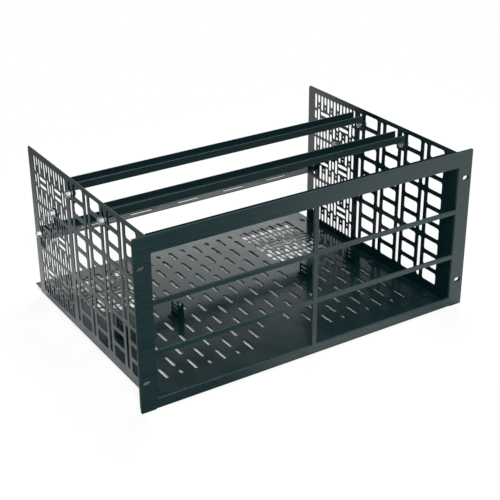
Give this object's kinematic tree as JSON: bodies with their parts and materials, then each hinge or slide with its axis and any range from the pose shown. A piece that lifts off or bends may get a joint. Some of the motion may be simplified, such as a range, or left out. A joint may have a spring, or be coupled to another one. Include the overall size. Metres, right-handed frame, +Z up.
{
  "type": "rack mount shelf",
  "caption": "Open-top rack shelf with a divided faceplate, slotted floor, vented side panels, adjustable crossbars and strap brackets that hold small devices side by side.",
  "frame": {"origin": "under the middle of the footprint, level with the faceplate's bottom edge", "axes": "+X to the right as seen from the front, +Y from the faceplate to the rear, +Z up"},
  "size_m": [0.4826, 0.3556, 0.2215],
  "materials": {
    "faceplate_finish": "satin black",
    "sheet_finish": "satin black powder coat",
    "zinc": "bright zinc plate",
    "black_screw": "black oxide"
  },
  "bodies": {
    "root": {"faceplate": "faceplate_finish", "base_shelf": "sheet_finish", "left_side_panel": "sheet_finish", "right_side_panel": "sheet_finish", "front_top_rail": "sheet_finish", "front_top_bar": "sheet_finish", "rear_top_bar": "sheet_finish", "rear_low_bar": "sheet_finish", "left_side_clip": "sheet_finish", "right_side_clip": "sheet_finish", "strap_bracket_left_outer": "sheet_finish", "strap_bracket_left_inner": "sheet_finish", "strap_bracket_right_inner": "sheet_finish", "strap_bracket_right_outer": "sheet_finish", "bar_bolts": "zinc", "bar_washers": "zinc", "bar_nuts": "zinc", "base_screws": "black_screw", "faceplate_studs": "black_screw", "faceplate_nuts": "black_screw"}
  },
  "joints": []
}
